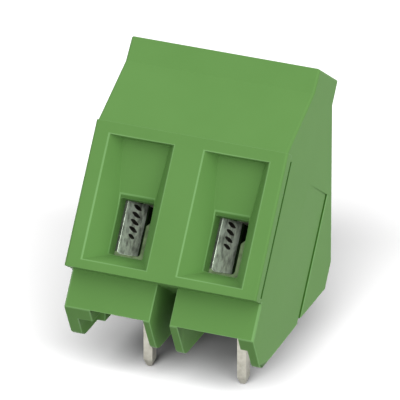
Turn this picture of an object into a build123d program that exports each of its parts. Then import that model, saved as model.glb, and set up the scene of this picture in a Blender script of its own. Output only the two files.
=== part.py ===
from build123d import *
from math import cos, radians, sin, tan
import os

# Two-pole screw terminal for a printed circuit board, wires entering at a slope from the front.
# One moulded housing carries, for each pole, a stamped current bar with its solder pin, a
# slotted screw, and a tension sleeve that the screw draws up so that the wire is clamped
# against the bar.
# Frame: X runs across the poles, Y from front to back, Z up from the board.
# The origin is on the board's surface, midway between the two solder pins.
# Most of the housing is square to its sloping front face, so many sizes are given as (u, v):
# u is the depth behind that face and v the height up along it from its foot.

# Layout
pitch = 9.52
poles = 2
slope = 35.0
foot_height = 8.1
foot_setback = 9.25

# Housing outline
row_gap = 0.04
face_height = 14.3
face_bevel = 0.3
brow_depth = 3.9
brow_height = 20.4
crest_front = 4.15
crest_back = 9.95
crest_height = 22.8
back_plane = 10.6
rear_lift = 0.45
rear_chamfer_foot = 8.85
edge_radius = 0.25

# Frame round the wire entries, standing proud of both sides
frame_proud = 0.1
frame_depth = 1.2
frame_radius = 0.25

# Base: two lobes on feet, with a slot between them
base_setback = 2.1
base_front_height = 3.96
foot_front = -7.7
foot_radius = 1.4
front_wall = 2.1
slot_width = 1.98
slot_offset = 0.12
left_end_wall = 1.15
right_end_wall = 0.87
left_slot_wall = 0.66
right_slot_wall = 0.8
ledge_height = 2.45
left_ledge = 1.46
right_ledge = 0.68
pocket_ceiling = 1.0
pocket_back = 1.15
rib_front = -4.15
rib_width = 0.75

# Grooves in the two sides
front_groove_width = 0.25
front_groove_depth = 0.15
front_groove_foot = 0.45
front_groove_top = 13.5
rear_groove_depth_behind_face = 13.75
rear_groove_width = 0.25
rear_groove_cut = 0.5
rear_groove_top = 12.46
side_relief = 0.25
side_relief_start = 8.0

# Wire entry: a funnel with a sloping floor, then a window through the front wall
funnel_width = 6.5
funnel_foot = 0.87
funnel_top = 12.87
funnel_top_depth = 1.5
funnel_foot_depth = 3.2
funnel_flare = 0.61
window_width = 3.4
window_foot = 2.1
window_top = 7.45
window_lead_in = 0.35

# Tension sleeve, bent from strip
screw_depth = 7.15
sleeve_length = 5.7
sleeve_wall = 1.0
sleeve_gap = 3.0
sleeve_floor = 2.45
sleeve_collar_foot = 9.0
sleeve_collar = 2.0
sleeve_corner = 0.9
sleeve_inner_corner = 0.3
sleeve_step = 0.5
sleeve_step_top = 5.2
sleeve_travel = 4.9

# Clamping screw
screw_radius = 2.0
screw_clearance = 0.03
screw_end_chamfer = 0.4
head_radius = 2.5
head_height = 2.6
head_chamfer = 0.3
driver_slot_width = 0.9
driver_slot_depth = 1.3

# Current bar and solder pin
bar_thickness = 1.1
bar_left = 1.35
bar_right = 0.85
bar_foot = 7.75
tongue_front = 5.0
leg_front = 10.6
bar_bend = 0.5
shoulder_rise = 1.39697
pin_width = 0.9
pin_length = 6.1
pin_taper = 0.7
pin_tip_width = 0.5
pin_tip_thickness = 0.55

# Clearances
chamber_clearance = 0.1
bar_clearance = 0.05
hollow_clearance = 0.25
head_clearance = 0.15
driver_hole_radius = 2.3

# Directions along u and v, and points in the (u, v) frame
tilt = radians(slope)
inward = Vector(0, cos(tilt), -sin(tilt))
upward = Vector(0, sin(tilt), cos(tilt))
face_foot = Vector(0, -foot_setback, foot_height)
side_view = Plane(origin=face_foot, x_dir=inward, z_dir=(1, 0, 0))
pole_positions = [(i - (poles - 1) / 2) * pitch for i in range(poles)]


def at(u, v):
    """The (Y, Z) of the point at depth u and height v."""
    point = face_foot + inward * u + upward * v
    return point.Y, point.Z


def height_at(u, z):
    """The v of the point at depth u whose Z is z."""
    return (z - foot_height + u * sin(tilt)) / cos(tilt)


def level(v):
    """The plane square to v at height v, with X along its x and u along its y."""
    return Plane(origin=face_foot + upward * v, x_dir=(1, 0, 0), z_dir=upward)


def facing(u):
    """The plane parallel to the front face at depth u, looking out to the front."""
    return Plane(origin=face_foot + inward * u, x_dir=(1, 0, 0), z_dir=-inward)


# Sizes worked out from the ones above
beyond = 6.0
body_width = poles * pitch - row_gap
side_plane = body_width / 2
frame_side = side_plane + frame_proud
base_front_v = height_at(base_setback, base_front_height)
crest_back_v = (back_plane + foot_setback - crest_back * cos(tilt)) / sin(tilt)
rear_chamfer_top = rear_lift + (back_plane - rear_chamfer_foot) / tan(tilt)
chamber_front = base_setback + front_wall
sleeve_half = sleeve_gap / 2 + sleeve_wall
sleeve_front = screw_depth - sleeve_length / 2
chamber_half = sleeve_half + chamber_clearance
chamber_back = screw_depth + sleeve_length / 2 + chamber_clearance
bar_top = bar_foot + bar_thickness
screw_end = bar_top + bar_clearance
collar_top = sleeve_collar_foot + sleeve_collar
head_seat = collar_top + sleeve_travel + head_clearance * 2
head_top = head_seat + head_height
chamber_top = head_seat - head_clearance
head_room_top = head_top + head_clearance
leg_back = leg_front + bar_thickness
half = bar_thickness / 2
bend_v = (foot_setback - (leg_front + half) * cos(tilt)) / sin(tilt)
bend_z = at(leg_front + half, bend_v)[1]
turn = half * tan(tilt / 2)
leg_shoulder = bend_v + shoulder_rise
rear_groove_foot = height_at(rear_groove_depth_behind_face, rear_lift)
rear_step_y = at(rear_groove_depth_behind_face, rear_groove_foot)[0]

os.makedirs("parts", exist_ok=True)


# Housing, moulded in one piece
with BuildPart() as housing:
    with BuildSketch(Plane.YZ) as outline:
        with BuildLine():
            Polyline(
                at(0, 0),
                at(0, face_height - face_bevel),
                at(face_bevel, face_height),
                at(brow_depth, brow_height),
                at(crest_front, crest_height),
                at(crest_back, crest_height),
                at(crest_back, crest_back_v),
                (back_plane, rear_chamfer_top),
                (rear_chamfer_foot, rear_lift),
                (rear_step_y, rear_lift),
                (rear_step_y, 0),
                (foot_front, 0),
                at(base_setback, base_front_v),
                at(base_setback, 0),
                close=True,
            )
        make_face()
        foot_corner = outline.vertices().sort_by_distance((foot_front, 0, 0))[0]
        fillet(foot_corner, foot_radius)
    extrude(amount=side_plane, both=True)

    # The long edges of the sides are rounded above the base
    upper_edges = housing.edges().filter_by(
        lambda e: abs(abs(e.center().X) - side_plane) < 0.001 and e.center().Z > foot_height + 2
    )
    fillet(upper_edges, edge_radius)

    # Frame round the wire entries
    with BuildSketch(facing(frame_depth)):
        with Locations((0, (face_height - face_bevel) / 2)):
            Rectangle(2 * frame_side, face_height - face_bevel)
    extrude(amount=frame_depth)
    frame_edges = housing.edges().filter_by(Axis(face_foot, upward)).filter_by(
        lambda e: abs(abs(e.center().X) - frame_side) < 0.001
        and abs((e.center() - face_foot).dot(inward)) < 0.001
    )
    fillet(frame_edges, frame_radius)

    # Grooves, and the shallow relief that runs back to the rear groove, on both sides
    for side in (-1, 1):
        with BuildSketch(level(front_groove_foot)):
            with Locations((side * side_plane, frame_depth + front_groove_width / 2)):
                Rectangle(2 * front_groove_depth, front_groove_width)
        extrude(amount=front_groove_top - front_groove_foot, mode=Mode.SUBTRACT)
        with BuildSketch(level(-beyond)):
            with BuildLine():
                Polyline(
                    (side * side_plane, side_relief_start),
                    (side * (side_plane - side_relief), rear_groove_depth_behind_face),
                    (side * (side_plane - rear_groove_cut), rear_groove_depth_behind_face),
                    (side * (side_plane - rear_groove_cut), rear_groove_depth_behind_face + rear_groove_width),
                    (side * (side_plane + 1), rear_groove_depth_behind_face + rear_groove_width),
                    (side * (side_plane + 1), side_relief_start),
                    close=True,
                )
            make_face()
        extrude(amount=rear_groove_top + beyond, mode=Mode.SUBTRACT)

    # Slot between the two lobes of the base
    with BuildSketch(Plane.YZ.offset(slot_offset - slot_width / 2)):
        with BuildLine():
            Polyline(
                at(-beyond, 0),
                at(rear_groove_depth_behind_face, 0),
                (rear_step_y, -beyond),
                (-foot_setback - beyond, -beyond),
                close=True,
            )
        make_face()
    extrude(amount=slot_width, mode=Mode.SUBTRACT)

    # Hollow under each lobe, open at the front and below. It is wider under its ledges, which stand
    # above the outer foot of each lobe. A rib thickens the left end wall behind its foot.
    slot_left = slot_offset - slot_width / 2
    slot_right = slot_offset + slot_width / 2
    lobes = [
        (left_end_wall - side_plane, slot_left - left_slot_wall, left_ledge, 0, rib_width),
        (slot_right + right_slot_wall, side_plane - right_end_wall, 0, right_ledge, 0),
    ]
    hollow_back = leg_back + hollow_clearance
    for low, high, low_ledge, high_ledge, rib in lobes:
        with BuildSketch(Plane.YZ.offset(low + low_ledge)):
            with BuildLine():
                Polyline(
                    at(chamber_front, pocket_ceiling),
                    at(hollow_back, pocket_ceiling),
                    (pocket_back, at(hollow_back, pocket_ceiling)[1]),
                    (pocket_back, -beyond),
                    (-foot_setback - beyond, -beyond),
                    (-foot_setback - beyond, base_front_height),
                    at(chamber_front, height_at(chamber_front, base_front_height)),
                    close=True,
                )
            make_face()
        extrude(amount=high - high_ledge - low - low_ledge, mode=Mode.SUBTRACT)
        for x0, y0, y1 in (
            (low, -foot_setback - beyond, rib_front),
            (low + rib, rib_front, pocket_back),
        ):
            with BuildSketch(Plane.XY.offset(-beyond)):
                with Locations(((x0 + high) / 2, (y0 + y1) / 2)):
                    Rectangle(high - x0, y1 - y0)
            extrude(amount=ledge_height + beyond, mode=Mode.SUBTRACT)

    for pole in pole_positions:
        # Sleeve chamber, with the screw's head room and driver hole above it
        with BuildSketch(level(-beyond / 6)):
            with Locations((pole, (chamber_front + chamber_back) / 2)):
                Rectangle(2 * chamber_half, chamber_back - chamber_front)
        extrude(amount=chamber_top + beyond / 6, mode=Mode.SUBTRACT)
        with BuildSketch(level(chamber_top - 1)):
            with Locations((pole, screw_depth)):
                Circle(head_radius + chamber_clearance)
        extrude(amount=head_room_top - chamber_top + 1, mode=Mode.SUBTRACT)
        with BuildSketch(level(head_room_top - 1)):
            with Locations((pole, screw_depth)):
                Circle(driver_hole_radius)
        extrude(amount=crest_height - head_room_top + 2, mode=Mode.SUBTRACT)

        # Channel that holds the current bar's leg
        bar_middle = pole + (bar_right - bar_left) / 2
        bar_width = bar_left + bar_right
        with BuildSketch(level(-beyond / 6)):
            with Locations((bar_middle, (chamber_back + leg_back + bar_clearance) / 2 - 0.25)):
                Rectangle(bar_width + 2 * bar_clearance, leg_back + bar_clearance - chamber_back + 0.5)
        extrude(amount=bar_top + bar_clearance + beyond / 6, mode=Mode.SUBTRACT)

        # The solder pin runs straight down from its bend. Where the bend lies above the hollow, this
        # opens the way.
        with BuildSketch(Plane.XY.offset(-beyond)):
            with Locations((pole, 0)):
                Rectangle(pin_width + 2 * bar_clearance, bar_thickness + 2 * bar_clearance)
        extrude(amount=beyond + bend_z + turn, mode=Mode.SUBTRACT)

# The funnels of the wire entries are the same solid at each pole
funnels = []
for pole in pole_positions:
    with BuildPart() as funnel:
        with BuildSketch(side_view.offset(pole - funnel_width)):
            with BuildLine():
                Polyline(
                    (-1, funnel_foot),
                    (0, funnel_foot),
                    (funnel_foot_depth, window_foot),
                    (funnel_top_depth, funnel_top),
                    (-1, funnel_top),
                    close=True,
                )
            make_face()
        extrude(amount=2 * funnel_width)
        with BuildSketch(level(0)):
            with BuildLine():
                Polyline(
                    (pole - funnel_width / 2 - funnel_flare, -1),
                    (pole - funnel_width / 2 + funnel_flare * 4, 4),
                    (pole + funnel_width / 2 - funnel_flare * 4, 4),
                    (pole + funnel_width / 2 + funnel_flare, -1),
                    close=True,
                )
            make_face()
        extrude(amount=face_height, mode=Mode.INTERSECT)
        # Window, its top edge chamfered to lead the wire in
        with BuildSketch(side_view.offset(pole - window_width / 2)):
            with BuildLine():
                Polyline(
                    (funnel_top_depth, window_foot),
                    (chamber_front + chamber_clearance, window_foot),
                    (chamber_front + chamber_clearance, window_top),
                    (funnel_top_depth + 1.25, window_top),
                    (funnel_top_depth + 0.35, window_top + 2 * window_lead_in),
                    (funnel_top_depth, window_top + 2 * window_lead_in),
                    close=True,
                )
            make_face()
        extrude(amount=window_width)
    funnels.append(funnel.part)

with BuildPart() as finished_housing:
    add(housing.part)
    for cut in funnels:
        add(cut, mode=Mode.SUBTRACT)
finished_housing.part.label = "housing"
export_step(finished_housing.part, "parts/housing.step")


for number, pole in enumerate(pole_positions, start=1):
    # Tension sleeve: a strip bent into a cage, doubled and threaded at the top. Its right wall is
    # set inwards below the thread.
    with BuildPart() as sleeve:
        with BuildSketch(facing(sleeve_front + sleeve_length)):
            with Locations((pole, (sleeve_floor - sleeve_wall + collar_top) / 2)):
                RectangleRounded(2 * sleeve_half, collar_top - sleeve_floor + sleeve_wall, sleeve_corner)
            with Locations((pole, (sleeve_floor + sleeve_collar_foot) / 2)):
                RectangleRounded(
                    sleeve_gap, sleeve_collar_foot - sleeve_floor, sleeve_inner_corner, mode=Mode.SUBTRACT
                )
            with BuildLine():
                step_left = pole + sleeve_gap / 2 - sleeve_step
                step_right = pole + sleeve_gap / 2 + sleeve_wall / 2
                Polyline(
                    (step_left, sleeve_floor - sleeve_wall / 2),
                    (step_left, sleeve_step_top - sleeve_step),
                    (pole + sleeve_gap / 2, sleeve_step_top),
                    (step_right, sleeve_step_top),
                    (step_right, sleeve_floor - sleeve_wall / 2),
                    close=True,
                )
            make_face()
        extrude(amount=sleeve_length)
        # Threaded bore, which breaks into the left wall below the collar
        with BuildSketch(level(sleeve_collar_foot - sleeve_travel - sleeve_wall / 4)):
            with Locations((pole, screw_depth)):
                Circle(screw_radius + screw_clearance)
        extrude(amount=sleeve_collar + sleeve_travel + sleeve_wall, mode=Mode.SUBTRACT)
    sleeve.part.label = f"tension_sleeve_{number}"
    export_step(sleeve.part, f"parts/tension_sleeve_{number}.step")

    # Clamping screw with a slotted cheese head
    with BuildPart() as screw:
        with BuildSketch(level(screw_end)):
            with Locations((pole, screw_depth)):
                Circle(screw_radius)
        extrude(amount=head_seat - screw_end)
        chamfer(screw.faces().sort_by(Axis(face_foot, upward))[0].edges(), screw_end_chamfer)
        with BuildSketch(level(head_seat)):
            with Locations((pole, screw_depth)):
                Circle(head_radius)
        extrude(amount=head_height)
        chamfer(screw.faces().sort_by(Axis(face_foot, upward))[-1].edges(), head_chamfer)
        with BuildSketch(level(head_top)):
            with Locations((pole, screw_depth)):
                Rectangle(2 * head_radius + 1, driver_slot_width)
        extrude(amount=-driver_slot_depth, mode=Mode.SUBTRACT)
    screw.part.label = f"clamping_screw_{number}"
    export_step(screw.part, f"parts/clamping_screw_{number}.step")

    # Current bar: the tongue lies across the sleeve under the screw's end, the leg runs down
    # behind the sleeve, and the solder pin is narrower and bent upright
    with BuildPart() as bar:
        with BuildSketch(side_view.offset(pole - bar_left)) as bar_side:
            with BuildLine():
                Polyline(
                    (tongue_front, bar_foot),
                    (leg_front, bar_foot),
                    (leg_front, leg_shoulder),
                    (leg_back, leg_shoulder),
                    (leg_back, bar_top),
                    (tongue_front, bar_top),
                    close=True,
                )
            make_face()
            fillet(bar_side.vertices().sort_by_distance((leg_front, bar_foot, 0))[0], bar_bend)
            fillet(bar_side.vertices().sort_by_distance((leg_back, bar_top, 0))[0], bar_bend + bar_thickness)
        extrude(amount=bar_left + bar_right)
        with BuildSketch(Plane.YZ.offset(pole - pin_width / 2)):
            with BuildLine():
                Polyline(
                    at(leg_front, leg_shoulder),
                    (-half, bend_z + turn),
                    (-half, -pin_length + pin_taper),
                    (-pin_tip_thickness / 2, -pin_length),
                    (pin_tip_thickness / 2, -pin_length),
                    (half, -pin_length + pin_taper),
                    (half, bend_z - turn),
                    at(leg_back, leg_shoulder),
                    close=True,
                )
            make_face()
        extrude(amount=pin_width)
        # The pin's tip is drawn in across its width as well
        for side in (-1, 1):
            with BuildSketch(Plane.XZ.offset(-bar_thickness)):
                with BuildLine():
                    Polyline(
                        (pole + side * pin_width / 2, -pin_length + pin_taper),
                        (pole + side * pin_tip_width / 2, -pin_length),
                        (pole + side * pin_tip_width / 2, -pin_length - 1),
                        (pole + side * pin_width, -pin_length - 1),
                        (pole + side * pin_width, -pin_length + pin_taper),
                        close=True,
                    )
                make_face()
            extrude(amount=2 * bar_thickness, mode=Mode.SUBTRACT)
    bar.part.label = f"current_bar_{number}"
    export_step(bar.part, f"parts/current_bar_{number}.step")
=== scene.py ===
"""A two-pole screw terminal for a printed circuit board, on a white table in soft studio light.

The terminal is put together in the order in which it is made: the moulded housing, the stamped current
bars, the tension sleeves and the screws. The table, light and camera come last. Sizes are written in
millimetres and the meshes are in metres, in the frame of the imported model: +X along the poles, +Y to the
back, +Z up from the circuit board.
"""

import bmesh
import bpy
import numpy as np
from mathutils import Matrix, Vector


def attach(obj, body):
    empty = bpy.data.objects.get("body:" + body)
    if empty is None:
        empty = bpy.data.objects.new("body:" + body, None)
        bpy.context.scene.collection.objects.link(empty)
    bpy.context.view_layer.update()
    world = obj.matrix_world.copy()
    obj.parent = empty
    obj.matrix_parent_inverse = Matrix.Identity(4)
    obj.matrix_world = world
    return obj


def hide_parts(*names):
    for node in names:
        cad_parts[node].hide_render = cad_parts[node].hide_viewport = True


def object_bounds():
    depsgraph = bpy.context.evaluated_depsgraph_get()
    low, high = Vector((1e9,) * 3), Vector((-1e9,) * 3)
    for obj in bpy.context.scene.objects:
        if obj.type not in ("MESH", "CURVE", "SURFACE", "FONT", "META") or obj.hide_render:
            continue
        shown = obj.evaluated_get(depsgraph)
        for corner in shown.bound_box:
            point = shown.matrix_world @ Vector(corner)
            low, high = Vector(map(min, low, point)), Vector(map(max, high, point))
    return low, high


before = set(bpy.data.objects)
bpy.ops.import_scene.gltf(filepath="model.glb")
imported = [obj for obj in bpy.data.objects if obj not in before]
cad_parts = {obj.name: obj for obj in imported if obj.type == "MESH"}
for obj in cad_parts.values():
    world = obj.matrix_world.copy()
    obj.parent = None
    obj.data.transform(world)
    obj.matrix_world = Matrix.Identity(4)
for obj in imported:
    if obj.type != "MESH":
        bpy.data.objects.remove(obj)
cad_box = [list(corner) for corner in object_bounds()]

# Housing
# Polyamide 6.6 without glass fibre, dyed green and moulded in one shot. The steel of the mould was spark
# eroded, which leaves a fine even grain, and its edges come out with a small radius that catches the light.
mm = 0.001
# Funnels, sleeves and screws stand square to the front face, which leans back. Places on them are given as
# x, depth u behind that face and height v up along it from its foot.
lean = np.radians(35.0)
face_foot = np.array([0.0, -9.25, 8.1])
depth_way = np.array([0.0, np.cos(lean), -np.sin(lean)])
height_way = np.array([0.0, np.sin(lean), np.cos(lean)])
pitch = 9.52


def srgb(code):
    """The linear colour of an sRGB hex code: ((c + 0.055) / 1.055) to the 2.4 above the straight foot."""
    c = np.array([int(code[i:i + 2], 16) / 255 for i in (1, 3, 5)])
    linear = np.where(c <= 0.04045, c / 12.92, ((c + 0.055) / 1.055) ** 2.4)
    return (*linear, 1.0)


def add_node(tree, kind, settings=None, **inputs):
    """Adds a shader node. settings are its own properties. inputs are its sockets, by name or by i and their
    number, each with a value or with an output to link."""
    new = tree.nodes.new(kind)
    for name, value in (settings or {}).items():
        setattr(new, name, value)
    for name, value in inputs.items():
        numbered = name[0] == "i" and name[1:].isdigit()
        socket = new.inputs[int(name[1:]) if numbered else name.replace("_", " ")]
        if isinstance(value, bpy.types.NodeSocket):
            tree.links.new(value, socket)
        else:
            socket.default_value = value
    return new


def empty_material(name):
    """A new material with its node tree cleared, and its output node."""
    made = bpy.data.materials.new(name)
    made.use_nodes = True
    made.node_tree.nodes.clear()
    return made, made.node_tree.nodes.new("ShaderNodeOutputMaterial")


def moulded_polyamide(name, colour, deep_colour, roughness, specular):
    """Dyed polyamide: a satin dielectric whose colour drifts a little with the flow of the melt."""
    made, output = empty_material(name)
    tree = made.node_tree
    place = add_node(tree, "ShaderNodeTexCoord").outputs["Object"]
    # The melt's flow marks are millimetres long
    flow = add_node(tree, "ShaderNodeTexNoise", Vector=place, Scale=1 / (6 * mm), Detail=2.0, Roughness=0.5)
    drift = add_node(tree, "ShaderNodeMapRange", i0=flow.outputs["Fac"], i1=0.3, i2=0.7)
    tint = add_node(tree, "ShaderNodeMix", {"data_type": "RGBA"}, Factor=drift.outputs["Result"],
                    i6=srgb(colour), i7=srgb(deep_colour))
    # The real grain is about 0.03 mm, which is finer than the picture, so it is drawn at 0.12 mm
    grain = add_node(tree, "ShaderNodeTexNoise", Vector=place, Scale=1 / (0.12 * mm), Detail=3.0,
                     Roughness=0.6)
    relief = add_node(tree, "ShaderNodeBump", Strength=0.16, Distance=0.02 * mm, Height=grain.outputs["Fac"])
    gloss = add_node(tree, "ShaderNodeMapRange", i0=grain.outputs["Fac"], i1=0.3, i2=0.7,
                     i3=roughness - 0.04, i4=roughness + 0.04)
    surface = add_node(tree, "ShaderNodeBsdfPrincipled", Base_Color=tint.outputs[2], IOR=1.53,
                       Specular_IOR_Level=specular, Roughness=gloss.outputs["Result"],
                       Normal=relief.outputs["Normal"])
    tree.links.new(surface.outputs["BSDF"], output.inputs["Surface"])
    return made


# The broad faces are an even satin green
green = moulded_polyamide("moulded green polyamide", "#6D9C55", "#6A9952", 0.46, 0.06)
# On a radius the colour is painted lighter, a painted highlight, so the edges show as fine pale lines
green_painted_highlight = moulded_polyamide("moulded polyamide with a painted highlight on a radius", "#7DAE68", "#7AAB64", 0.40, 0.2)
# The rear wall of a groove is painted darker, a painted shade, so the groove shows as a dark line
green_painted_groove_shade = moulded_polyamide("moulded polyamide with painted shade in a groove", "#44722F", "#406D2C", 0.50, 0.05)
# Behind the sleeves hardly any light comes in, and the walls are painted near black as shade
green_painted_chamber_shade = moulded_polyamide("moulded polyamide with painted shade deep in a chamber", "#24371E", "#20321A", 0.60, 0.03)

# Two faces that turn by less than flat_turn are made one. Between broad faces, ones wider than facet_width,
# an edge that turns by more than crisp_turn stays crisp, and one above sharp_turn is rounded if it juts out.
flat_turn = np.radians(0.4)
crisp_turn = np.radians(0.5)
sharp_turn = np.radians(20.0)
facet_width = 0.3 * mm
# The radius of an edge of full bevel weight, and how much of a short neighbour a radius may take up
full_radius = 1.0 * mm
neighbour_share = 0.4


def softened(node, name, radius_of, shift_of):
    """A copy of a CAD node, ready to be rounded along its outer edges. radius_of gives each edge's radius in
    millimetres from its middle and direction. It is limited by the shortest edge that meets the edge, so
    that narrow grooves keep their form. shift_of moves the copy's corners first, in millimetres."""
    bm = bmesh.new()
    bm.from_mesh(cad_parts[node].data)
    bmesh.ops.remove_doubles(bm, verts=bm.verts, dist=0.0005 * mm)
    for vert in bm.verts:
        vert.co += Vector(shift_of(np.array(vert.co) / mm)) * mm
    bmesh.ops.dissolve_limit(bm, angle_limit=flat_turn, verts=bm.verts, edges=bm.edges)
    bmesh.ops.triangulate(bm, faces=bm.faces, quad_method="BEAUTY", ngon_method="BEAUTY")
    weight = bm.edges.layers.float.new("bevel_weight_edge")
    paired = [edge for edge in bm.edges if len(edge.link_faces) == 2]
    sharp = {edge for edge in paired if edge.calc_face_angle(0.0) > sharp_turn}
    for edge in sharp:
        if edge.is_convex:
            shortest = min(e.calc_length() for vert in edge.verts for e in vert.link_edges if e in sharp)
            way = (edge.verts[1].co - edge.verts[0].co).normalized()
            radius = radius_of((edge.verts[0].co + edge.verts[1].co) / 2 / mm, way)
            edge[weight] = min(radius * mm, neighbour_share * shortest) / full_radius
        else:
            edge.smooth = False
    for edge in paired:
        if edge not in sharp and edge.calc_face_angle(0.0) > crisp_turn:
            narrowest = min(2 * face.calc_area() / face.calc_perimeter() for face in edge.link_faces)
            if narrowest > facet_width:
                edge.smooth = False
    mesh = bpy.data.meshes.new(name)
    bm.to_mesh(mesh)
    bm.free()
    piece = bpy.data.objects.new(name, mesh)
    bpy.context.scene.collection.objects.link(piece)
    rounding = piece.modifiers.new("rounding", "BEVEL")
    rounding.limit_method = "WEIGHT"
    rounding.width = full_radius
    rounding.segments = 3
    rounding.use_clamp_overlap = False
    rounding.miter_outer = "MITER_ARC"
    return piece


def applied(piece, keep_flat=True):
    """Makes a piece's modifiers part of its mesh. With keep_flat, flat faces stay flat in smooth shading."""
    if keep_flat:
        flat = piece.modifiers.new("flat faces", "WEIGHTED_NORMAL")
        flat.keep_sharp = True
    mesh = bpy.data.meshes.new_from_object(piece.evaluated_get(bpy.context.evaluated_depsgraph_get()))
    piece.modifiers.clear()
    piece.data = mesh


# The outer side of the housing, and further in the floors of its grooves and of the relief between them, as
# distances from the middle. They start and end at these depths behind the front face, and the rear ones end
# at the height relief_top.
side_plane = 9.5
front_groove_floor = 9.35
relief_floor = 9.25
rear_groove_floor = 9.0
front_groove_start = 1.2
front_groove_end = 1.45
relief_start = 8.0
rear_groove_start = 13.75
rear_groove_end = 14.0
relief_top = 12.46
# The front grooves are drawn wider, because they show as broad dark lines, and the relief is drawn shallower
groove_widening = 0.4
relief_filling = 0.13
wide_groove_end = front_groove_end + groove_widening
# A place this near to a plane counts as on it
reach = 0.05
# The radius of the mould's edges, of the upright corners of the base below base_top, and at the rear grooves
mould_radius = 0.10
base_corner_radius = 0.22
base_top = 7.0
rear_groove_radius = 0.05
# An edge is upright if its direction has less than this along x, and a wall faces the front above this cosine
upright_limit = 0.2
facing_limit = 0.9


def side_place(place):
    """How far out a place lies, its depth u and its height v."""
    away = place - face_foot
    return abs(place[0]), away @ depth_way, away @ height_way


def groove_shift(place):
    """Moves the rear wall of the front groove back along u by groove_widening, and a corner of the relief out
    by relief_filling times its share of the way from relief_start to the rear groove."""
    out, u, v = side_place(place)
    if out > front_groove_floor - reach and abs(u - front_groove_end) < reach:
        return groove_widening * depth_way
    in_relief = relief_start < u < rear_groove_start + reach and v < relief_top + reach
    if in_relief and relief_floor - reach < out < side_plane - reach:
        share = (u - relief_start) / (rear_groove_start - relief_start)
        return [np.sign(place[0]) * relief_filling * share, 0.0, 0.0]
    return [0.0, 0.0, 0.0]


def housing_radius(middle, way):
    """The mould's radius along an edge: larger on the upright corners of the base than elsewhere, small at
    the rear grooves, and none on the front grooves and on the faint step where the relief of a side ends."""
    out, u, v = side_place(np.array(middle))
    on_step = abs(v - relief_top) < reach and relief_start - reach < u < rear_groove_start - reach
    if on_step and out > rear_groove_floor + reach:
        return 0.0
    in_front_groove = front_groove_start + reach < u < wide_groove_end + reach
    if in_front_groove and front_groove_floor - reach < out < side_plane + reach:
        return 0.0
    if out > rear_groove_floor and rear_groove_start - reach < u < rear_groove_end + reach:
        return rear_groove_radius
    upright = abs(way.x) < upright_limit and out > relief_floor - reach
    return base_corner_radius if upright and middle.z < base_top else mould_radius


housing = softened("housing", "housing_moulding", housing_radius, groove_shift)
shades = (green, green_painted_highlight, green_painted_groove_shade, green_painted_chamber_shade)
for shade in shades:
    housing.data.materials.append(shade)
# The rounded edges take the painted highlight
housing.modifiers["rounding"].material = shades.index(green_painted_highlight)
for face in housing.data.polygons:
    face.use_smooth = True
applied(housing)
# The chambers are painted near black as shade from this depth on, between these heights and between their
# side walls
painted_shade_start = 9.9
painted_shade_foot = 2.0
painted_shade_top = 9.0
chamber_wall = 0.5
for face in housing.data.polygons:
    out, u, v = side_place(np.array(face.center) / mm)
    facing_front = abs(face.normal.dot(Vector(depth_way))) > facing_limit
    on_rear_wall = min(abs(u - rear_groove_end), abs(u - wide_groove_end)) < reach
    # Rear walls of the grooves take the painted groove shade
    if facing_front and on_rear_wall and rear_groove_floor - reach < out < side_plane:
        face.material_index = shades.index(green_painted_groove_shade)
    # Chamber walls behind the sleeves take the near black painted shade
    if u > painted_shade_start and painted_shade_foot < v < painted_shade_top and chamber_wall < out < pitch - chamber_wall:
        face.material_index = shades.index(green_painted_chamber_shade)
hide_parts("housing")
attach(housing, "base")


# Current bars
# Copper strip, stamped and bent, then tin plated without a brightener, so it is pale, warm and nearly matte.
# The leg is pressed into the housing from below and ends in the solder pin.
poles = {1: -pitch / 2, 2: pitch / 2}


def plated_metal(name, colour, stain_colour, roughness, streak, bump, metallic=1.0):
    """Plated metal: the plating's colour with duller stains, and fine streaks along the rolling direction,
    streak times as long as they are wide."""
    made, output = empty_material(name)
    tree = made.node_tree
    place = add_node(tree, "ShaderNodeTexCoord").outputs["Object"]
    stretched = add_node(tree, "ShaderNodeMapping", Vector=place, Rotation=(lean, 0.0, 0.0),
                         Scale=(1.0, 1.0 / streak, 1.0))
    # Rolling marks are about 0.02 mm wide, too fine to show, so they are drawn at 0.15 mm
    streaks = add_node(tree, "ShaderNodeTexNoise", Vector=stretched.outputs["Vector"],
                       Scale=1 / (0.15 * mm), Detail=3.0, Roughness=0.6)
    # The stains that oil and handling leave are about a millimetre across
    stains = add_node(tree, "ShaderNodeTexNoise", Vector=place, Scale=1 / (0.9 * mm), Detail=4.0,
                      Roughness=0.6)
    patch = add_node(tree, "ShaderNodeMapRange", i0=stains.outputs["Fac"], i1=0.42, i2=0.68)
    tint = add_node(tree, "ShaderNodeMix", {"data_type": "RGBA"}, Factor=patch.outputs["Result"],
                    i6=srgb(colour), i7=srgb(stain_colour))
    dull = add_node(tree, "ShaderNodeMapRange", i0=streaks.outputs["Fac"], i1=0.3, i2=0.7,
                    i3=roughness - 0.06, i4=roughness + 0.08)
    relief = add_node(tree, "ShaderNodeBump", Strength=bump, Distance=0.02 * mm,
                      Height=streaks.outputs["Fac"])
    surface = add_node(tree, "ShaderNodeBsdfPrincipled", Base_Color=tint.outputs[2], Metallic=metallic,
                       Roughness=dull.outputs["Result"], Normal=relief.outputs["Normal"])
    tree.links.new(surface.outputs["BSDF"], output.inputs["Surface"])
    return made


# Matte tin gives the pins a pale, faintly warm grey without mirror images
tin = plated_metal("matte tin on copper", "#BAB8AD", "#A3A094", 0.42, 6.0, 0.15)
# The flanks of the strip lie at these distances from the pole in the solid, and are drawn further in: the
# left one out of sight behind the sleeve, and the right one clear of the sleeve's thicker wall.
bar_left = 1.35
bar_right = 0.85
left_inset = 0.4
right_inset = 0.25


def bar_shift(place):
    """Moves the flanks of a current bar inward along x."""
    nearest = min(poles.values(), key=lambda pole: abs(place[0] - pole))
    x = place[0] - nearest
    if x < reach - bar_left:
        return [left_inset, 0.0, 0.0]
    return [-right_inset if x > bar_right - reach else 0.0, 0.0, 0.0]


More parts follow.
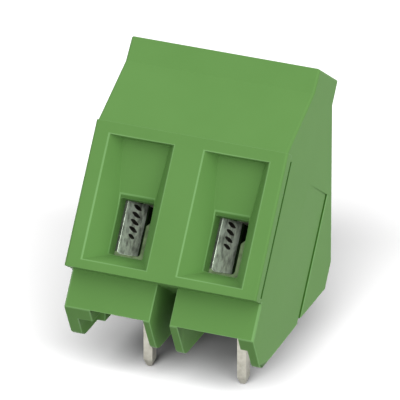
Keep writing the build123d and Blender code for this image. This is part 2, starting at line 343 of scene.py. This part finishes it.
def bar_radius(middle, way):
    """The radius that stamping and plating leave on every edge of the strip."""
    return 0.1


for number in poles:
    bar = softened(f"current_bar_{number}", f"current_bar_stamping_{number}", bar_radius, bar_shift)
    bar.data.materials.append(tin)
    for face in bar.data.polygons:
        face.use_smooth = True
    applied(bar)
    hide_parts(f"current_bar_{number}")
    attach(bar, "base")


# Tension sleeves
# Steel strip bent into a cage and nickel plated. The doubled top is tapped for the screw, and the tap runs on
# down and bites into the side walls, where it leaves a row of lens-shaped cuts.
sleeve_front = 4.3
sleeve_back = 10.0
sleeve_gap = 3.0
strip_edge = 0.06
# The right wall is doubled up to step_foot, and thins on the slant up to step_top
step_foot = 5.4
step_top = 6.35
screw_depth = 7.15
# An M4 thread, whose turns pass the right side at thread_height and whole pitches from there. A flank takes
# up this share of the pitch.
thread_pitch = 0.7
thread_depth = 0.46
thread_height = 0.61
flank = 0.25
# The tapped hole is drilled a little wider than the screw's core. Its cuts have part of their depth at the
# height cut_feet, and the whole of it a little higher.
tap_drill = 1.46
tap_foot = 3.95
tap_top = 11.6
tap_cone = 0.65
cut_feet = {1: 4.2, 2: 4.75}
cut_share = 0.3
cut_run = 0.8
around = np.linspace(0.0, 2 * np.pi, 72, endpoint=False)


def leaned(x, u, v):
    """Points in metres from x, u and v in millimetres: foot + x X + u U + v V, as an array of rows."""
    x, u, v = np.broadcast_arrays(x, u, v)
    grid = face_foot + x[..., None] * [1.0, 0.0, 0.0] + u[..., None] * depth_way + v[..., None] * height_way
    return grid * mm


def cage_loop(left, right_low, right_high, foot, top, corner):
    """One turn round the cage as rows of (x, v): straight sides joined by quarter circles of radius corner.
    The left side is at x = -left. The right one is at right_low up to step_foot and at right_high above
    step_top, with a straight line between."""
    quarter = np.linspace(0.0, np.pi / 2, 9)

    def side(start, end, count):
        return np.linspace(start, end, count + 1)[1:-1]

    def bend(x, v, start):
        return np.column_stack([x + corner * np.cos(start + quarter), v + corner * np.sin(start + quarter)])

    low, high = (right_low, step_foot), (right_high, step_top)
    return np.concatenate([
        bend(right_low - corner, foot + corner, -np.pi / 2),
        side((right_low, foot + corner), low, 8), [low], side(low, high, 4), [high],
        side(high, (right_high, top - corner), 16),
        bend(right_high - corner, top - corner, 0.0),
        side((right_high - corner, top), (corner - left, top), 10),
        bend(corner - left, top - corner, np.pi / 2),
        side((-left, top - corner), (-left, foot + corner), 24),
        bend(corner - left, foot + corner, np.pi),
        side((corner - left, foot), (right_low - corner, foot), 8),
    ])


def cage(pole):
    """The bent strip. Each point is I + w (O - I) / |O - I| for an inner loop I and an outer loop O, while w
    and the depth u go once round a rectangle with rounded corners."""
    inner = cage_loop(left=sleeve_gap / 2, right_low=0.72, right_high=1.66, foot=2.45, top=9.0, corner=0.3)
    outer = cage_loop(left=2.5, right_low=2.5, right_high=2.5, foot=1.45, top=11.0, corner=0.9)
    thickness = np.linalg.norm(outer - inner, axis=1)
    quarter = np.linspace(0.0, np.pi / 2, 5)
    # The four corners in turn: inner front, outer front, outer back, inner back
    is_outer = np.array([0, 1, 1, 0])[:, None]
    is_back = np.array([0, 0, 1, 1])[:, None]
    angle = np.pi + np.array([0, 1, 2, 3])[:, None] * np.pi / 2 + quarter
    w = strip_edge * (1 + np.cos(angle)) + is_outer * -2 * strip_edge
    w = w[..., None] + is_outer[..., None] * thickness
    u = (sleeve_front + strip_edge * (1 + np.sin(angle))
         + is_back * (sleeve_back - sleeve_front - 2 * strip_edge)).reshape(-1)
    w = w.reshape(-1, len(thickness)).T
    place = inner[:, None] + w[..., None] * ((outer - inner) / thickness[:, None])[:, None]
    return leaned(pole + place[..., 0], np.broadcast_to(u, w.shape), place[..., 1])


def thread(v, turn, crest):
    """How full a thread is, 0 at the root and 1 over the crest: a wave of straight flanks in
    v - thread_height - pitch turn / 2 pi, whose crest is this share of the pitch wide."""
    phase = (v - thread_height) / thread_pitch - turn / (2 * np.pi)
    away = np.abs(phase - np.round(phase))
    return np.clip((crest / 2 + flank - away) / flank, 0.0, 1.0)


def tapped_hole(cut_foot):
    """Heights v, and radii for each angle: the drilled hole plus the depth of the thread, which grows from
    nothing just below cut_foot. It ends in a point at the top and, as the drill's cone, at the foot."""
    v = np.arange(tap_foot, tap_top, thread_pitch / 14)
    depth = thread_depth * np.clip(cut_share + (v - cut_foot) / cut_run, 0.0, 1.0)[:, None]
    radius = tap_drill + depth * thread(v[:, None], around, crest=0.14)
    point = np.zeros((1, len(around)))
    return np.concatenate([[tap_foot - tap_cone], v, [tap_top]]), np.concatenate([point, radius, point])


def turned(pole, v, radius):
    """A surface turned about the screw's axis: (pole + r cos t, axis + r sin t, v) for heights v, angles t
    and a radius r that may change with both."""
    radius = np.broadcast_to(radius, (len(v), len(around)))
    return leaned(pole + radius * np.cos(around), screw_depth + radius * np.sin(around), v[:, None])


def skin(name, points, closed_rows):
    """A closed mesh from a grid of points that wraps round in its second direction, and in its first if
    closed_rows. Rows at the ends of an open grid lie in one point, and are merged there."""
    rows, cols = points.shape[:2]
    index = np.arange(rows * cols).reshape(rows, cols)
    index = np.concatenate([index, index[:, :1]], axis=1)
    if closed_rows:
        index = np.concatenate([index, index[:1]])
    quads = np.stack([index[:-1, :-1], index[:-1, 1:], index[1:, 1:], index[1:, :-1]], axis=-1)
    mesh = bpy.data.meshes.new(name)
    mesh.from_pydata(points.reshape(-1, 3), [], quads.reshape(-1, 4))
    bm = bmesh.new()
    bm.from_mesh(mesh)
    bmesh.ops.remove_doubles(bm, verts=bm.verts, dist=0.0001 * mm)
    bmesh.ops.recalc_face_normals(bm, faces=bm.faces)
    bm.to_mesh(mesh)
    bm.free()
    piece = bpy.data.objects.new(name, mesh)
    bpy.context.scene.collection.objects.link(piece)
    return piece


def cut_away(piece, cutter):
    """Takes the cutter's volume out of the piece and removes the cutter."""
    cut = piece.modifiers.new("cut", "BOOLEAN")
    cut.operation = "DIFFERENCE"
    cut.solver = "EXACT"
    cut.object = cutter
    applied(piece, keep_flat=False)
    bpy.data.objects.remove(cutter)


# Nickel over rolled strip, stained from tapping: bright and mottled. The green in its grey is a painted
# reflection of the funnel
nickel = plated_metal("nickel plated steel strip with a painted green reflection", "#D4E1D0", "#767F72", 0.36, 5.0, 0.25, metallic=0.6)
# A sheared edge is torn and dull, and it is also painted darker as shade, so it is dark beside the bright
# flats
sheared = plated_metal("sheared edge of the strip with painted shade", "#3E443A", "#2F342C", 0.75, 1.0, 0.3)
# The floor's edge and that of the doubled wall are sheared, with the funnel's green as a painted reflection
# and darkened as painted shade
thick_edge_painted_green_shade = plated_metal("sheared edge of the doubled strip", "#5C6B4E", "#46543B", 0.55, 1.0, 0.3)
# The cuts of the tap are painted dark as the shade in their recesses, and show as dark lenses
tapped = plated_metal("tapped steel with painted shade", "#4C4B44", "#35342E", 0.50, 1.0, 0.2)
metals = (nickel, sheared, tapped, thick_edge_painted_green_shade)
# A face whose normal runs along the depth, by its cosine, is a sheared edge. On the right, where the strip is
# thick, its rounded rims are too, and there they are painted dark as shade. Up to these heights the edge is
# that of the floor and of the doubled wall. A face of the tap's cuts lies this far or more outside the inner
# side of the wall.
edge_cosine = 0.95
rim_cosine = 0.2
floor_top = 2.4
doubled_top = 5.95
cut_reach = 0.005
crease = np.radians(32)
for number, pole in poles.items():
    sleeve = skin(f"tension_sleeve_strip_{number}", cage(pole), True)
    cut_away(sleeve, skin("tap", turned(pole, *tapped_hole(cut_feet[number])), False))
    for metal in metals:
        sleeve.data.materials.append(metal)
    for face in sleeve.data.polygons:
        face.use_smooth = True
        away = np.array(face.center) / mm - face_foot
        x, height = away[0] - pole, away @ height_way
        from_axis = np.hypot(x, away @ depth_way - screw_depth)
        facing_out = abs(face.normal.dot(Vector(depth_way)))
        # The tap's cuts take the dark painted shade
        if abs(x) > sleeve_gap / 2 + cut_reach and from_axis < tap_drill + thread_depth + 2 * cut_reach:
            face.material_index = metals.index(tapped)
        # Sheared edges are dull and also painted darker as shade, and on the right their rims too
        elif facing_out > edge_cosine or facing_out > rim_cosine and x > 0:
            doubled = height < floor_top or x > 0 and height < doubled_top
            face.material_index = metals.index(thick_edge_painted_green_shade if doubled else sheared)
    sleeve.data.set_sharp_from_angle(angle=crease)
    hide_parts(f"tension_sleeve_{number}")
    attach(sleeve, f"sleeve_{number}")


# Clamping screws
# Turned steel with a rolled M4 thread and a slotted cheese head, zinc plated and clear passivated. The
# chamfered end meets the current bar, and the head's shoulder turns on the housing.
screw_core = 1.42
screw_end = 8.9
end_chamfer = 0.06
thread_start = 9.35
thread_end = 16.15
run_in = 0.8
run_out = 0.5
plain_neck = 0.05
head_seat = 16.2
head_top = 18.8
head_radius = 2.5
head_draft = 0.01
seat_chamfer = 0.06
rim_radius = 0.3
driver_slot = 0.9
slot_foot = 17.5
cutter_top = 19.5
cutter_reach = 3.0


def screw_profile():
    """Heights v, and radii for each angle: a chamfered end, a thread that fades out at both ends of its core,
    and a head with a little draft, whose rim is a quarter circle."""
    v = np.arange(thread_start, thread_end, thread_pitch / 14)
    fade = np.minimum((v - thread_start) / run_in, (thread_end - plain_neck - v) / run_out)
    depth = thread_depth * np.clip(fade, 0.0, 1.0)[:, None]
    shank = screw_core + depth * thread(v[:, None], around, crest=0.10)
    rim = np.linspace(0.0, np.pi / 2, 7)[1:]
    rim_foot = head_top - rim_radius
    head_v = np.concatenate([[head_seat, head_seat, head_seat + seat_chamfer, rim_foot],
                             rim_foot + rim_radius * np.sin(rim), [head_top]])
    head_r = np.concatenate([[screw_core, head_radius - head_draft - seat_chamfer, head_radius - head_draft,
                              head_radius], head_radius - rim_radius + rim_radius * np.cos(rim), [0.0]])
    end_v = np.array([screw_end, screw_end, screw_end + end_chamfer / 2])
    end_r = np.array([0.0, screw_core - 2 * end_chamfer, screw_core - end_chamfer])
    radius = np.concatenate([np.repeat(end_r[:, None], len(around), 1), shank,
                             np.repeat(head_r[:, None], len(around), 1)])
    return np.concatenate([end_v, v, head_v]), radius


def slot_cutter(pole):
    """A box across the head as a grid: two rings of four corners, each closed in its centre."""
    x = pole + cutter_reach * np.array([[0, 0, 0, 0], [-1, 1, 1, -1], [-1, 1, 1, -1], [0, 0, 0, 0]])
    u = screw_depth + driver_slot / 2 * np.array([[0, 0, 0, 0], [-1, -1, 1, 1], [-1, -1, 1, 1], [0, 0, 0, 0]])
    v = np.repeat([[slot_foot], [slot_foot], [cutter_top], [cutter_top]], 4, axis=1)
    return leaned(x, u, v)


# Zinc with a clear passivation is a cool silvery grey, a little cloudy
zinc = plated_metal("zinc plated steel", "#CBCBC8", "#B4B4AE", 0.30, 1.0, 0.06)
# The slot's walls keep the marks of the cutter, and are painted dark as the shade they lie in
milled = plated_metal("milled slot with painted shade", "#5F5F5A", "#4A4A45", 0.55, 1.0, 0.1)
screw_metals = (zinc, milled)
for number, pole in poles.items():
    screw = skin(f"clamping_screw_turned_{number}", turned(pole, *screw_profile()), False)
    cut_away(screw, skin("driver slot", slot_cutter(pole), False))
    for metal in screw_metals:
        screw.data.materials.append(metal)
    for face in screw.data.polygons:
        face.use_smooth = True
        away = np.array(face.center) / mm - face_foot
        from_slot = abs(away @ depth_way - screw_depth) - driver_slot / 2
        if slot_foot - reach < away @ height_way < head_top - reach and from_slot < reach:
            face.material_index = screw_metals.index(milled)
    screw.data.set_sharp_from_angle(angle=crease)
    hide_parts(f"clamping_screw_{number}")
    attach(screw, f"screw_{number}")


# Table
# A sheet of white card under the pins of the terminal. The lamp that lights the card alone makes it pure
# white in the picture, and it keeps the soft shadow that the terminal throws.
def white_card(shown_white, cast_white):
    """White card: matte. To the camera, in reflections and through glass it has one whiteness, and as a
    reflector that throws light back on the terminal another."""
    made, output = empty_material("white card")
    tree = made.node_tree
    rays = add_node(tree, "ShaderNodeLightPath")
    seen = add_node(tree, "ShaderNodeMath", {"operation": "ADD", "use_clamp": True},
                    i0=rays.outputs["Is Camera Ray"], i1=rays.outputs["Is Glossy Ray"])
    shown = add_node(tree, "ShaderNodeMath", {"operation": "ADD", "use_clamp": True},
                     i0=seen.outputs["Value"], i1=rays.outputs["Is Transmission Ray"])
    cast = add_node(tree, "ShaderNodeBsdfDiffuse", Color=(cast_white, cast_white, cast_white, 1.0))
    view = add_node(tree, "ShaderNodeBsdfDiffuse", Color=(shown_white, shown_white, shown_white, 1.0))
    both = add_node(tree, "ShaderNodeMixShader", i0=shown.outputs["Value"], i1=cast.outputs["BSDF"],
                    i2=view.outputs["BSDF"])
    tree.links.new(both.outputs["Shader"], output.inputs["Surface"])
    return made


table_top = cad_box[0][2] - 0.02 * mm
half_side = 900 * mm
# The card is written dark and its own lamp strong, so that the tent's light doesn't fill the shadow. As a
# reflector it is darker still, which keeps the undersides of the terminal in shade.
card_shade = 0.11
card_cast = 0.18 * card_shade
table_mesh = bpy.data.meshes.new("table")
corners = [(x, y, table_top) for x, y in ((-half_side, -half_side), (half_side, -half_side),
                                          (half_side, half_side), (-half_side, half_side))]
table_mesh.from_pydata(corners, [], [(0, 1, 2, 3)])
table = bpy.data.objects.new("table", table_mesh)
table_mesh.materials.append(white_card(card_shade, card_cast))
bpy.context.scene.collection.objects.link(table)

# Light
# A white tent lights the terminal from all sides. A soft lamp stands to the front right of it and above, and
# a broad one, hung over the front of the table, lights the card alone. A narrow one shines nearly square into
# the wire entries and lights the sleeves alone.
tent = bpy.data.worlds.new("tent")
bpy.context.scene.world = tent
tent.use_nodes = True
tent.node_tree.nodes.clear()
tent_output = tent.node_tree.nodes.new("ShaderNodeOutputWorld")
tent_rays = add_node(tent.node_tree, "ShaderNodeLightPath")
# The tent is white where it is seen, and a little weaker as a light
tent_wall = add_node(tent.node_tree, "ShaderNodeMapRange", i0=tent_rays.outputs["Is Diffuse Ray"],
                     i3=1.0, i4=0.67)
tent_glow = add_node(tent.node_tree, "ShaderNodeBackground", Color=(1.0, 1.0, 1.0, 1.0),
                     Strength=tent_wall.outputs["Result"])
tent.node_tree.links.new(tent_glow.outputs["Background"], tent_output.inputs["Surface"])
terminal_middle = Vector((0.0, 0.0, 8 * mm))


def aimed(lamp, toward, distance):
    """Puts a lamp this far from the terminal's middle in the direction toward, shining back at it."""
    way = Vector(toward).normalized()
    facing = way.to_track_quat("Z", "Y").to_matrix().to_4x4()
    lamp.matrix_world = Matrix.Translation(terminal_middle + way * distance) @ facing
    bpy.context.scene.collection.objects.link(lamp)


softbox = bpy.data.lights.new("softbox", "SUN")
softbox.angle = np.radians(80)
softbox.energy = 1.56
softbox_lamp = bpy.data.objects.new("softbox", softbox)
aimed(softbox_lamp, (0.60, -0.56, 0.60), 0.6)
overhead = bpy.data.lights.new("overhead", "AREA")
overhead.shape = "RECTANGLE"
overhead.size = 2.4
overhead.size_y = 0.8
overhead.energy = 92.0 / card_shade
overhead_lamp = bpy.data.objects.new("overhead", overhead)
aimed(overhead_lamp, (0.235, -0.668, 0.706), 2.0)
entry_light = bpy.data.lights.new("entry light", "SUN")
entry_light.angle = np.radians(12)
entry_light.energy = 5.0
entry_lamp = bpy.data.objects.new("entry light", entry_light)
# It stands 20 degrees to the right of square to the front face
aimed(entry_lamp, 0.342 * Vector((1.0, 0.0, 0.0)) - 0.94 * Vector(depth_way), 0.5)

# Each lamp has a collection of what it lights. The softbox's names the table as what it leaves out.
sleeves_only = bpy.data.collections.new("lit by the entry light")
for number in poles:
    sleeves_only.objects.link(bpy.data.objects[f"tension_sleeve_strip_{number}"])
entry_lamp.light_linking.receiver_collection = sleeves_only
card_only = bpy.data.collections.new("lit by the overhead lamp")
card_only.objects.link(table)
overhead_lamp.light_linking.receiver_collection = card_only
all_but_card = bpy.data.collections.new("lit by the softbox")
all_but_card.objects.link(table)
softbox_lamp.light_linking.receiver_collection = all_but_card
all_but_card.collection_objects[0].light_linking.link_state = "EXCLUDE"

bpy.context.scene.view_settings.view_transform = "Standard"

# Camera
# A long lens, a little to the right of the front and 27 degrees above the board. focal_pixels is its focal
# length in pixels of a picture that is picture_width pixels wide.
bearing = np.radians(22.0)
rise = np.radians(27.1)
camera_distance = 704 * mm
aim = np.array([0.438, -0.25, 12.534]) * mm
sensor_width = 36.0
focal_pixels = 7543.6
picture_width = 400
back = np.array([np.sin(bearing) * np.cos(rise), -np.cos(bearing) * np.cos(rise), np.sin(rise)])
right = np.array([np.cos(bearing), np.sin(bearing), 0.0])
above = np.cross(back, right)
camera_data = bpy.data.cameras.new("camera")
camera_data.sensor_width = sensor_width
camera_data.lens = sensor_width * focal_pixels / picture_width
camera_data.clip_start = 0.01
camera_data.clip_end = 10.0
camera = bpy.data.objects.new("camera", camera_data)
columns = np.column_stack([right, above, back, aim + back * camera_distance])
camera.matrix_world = Matrix([*columns.tolist(), [0.0, 0.0, 0.0, 1.0]])
bpy.context.scene.collection.objects.link(camera)
bpy.context.scene.camera = camera
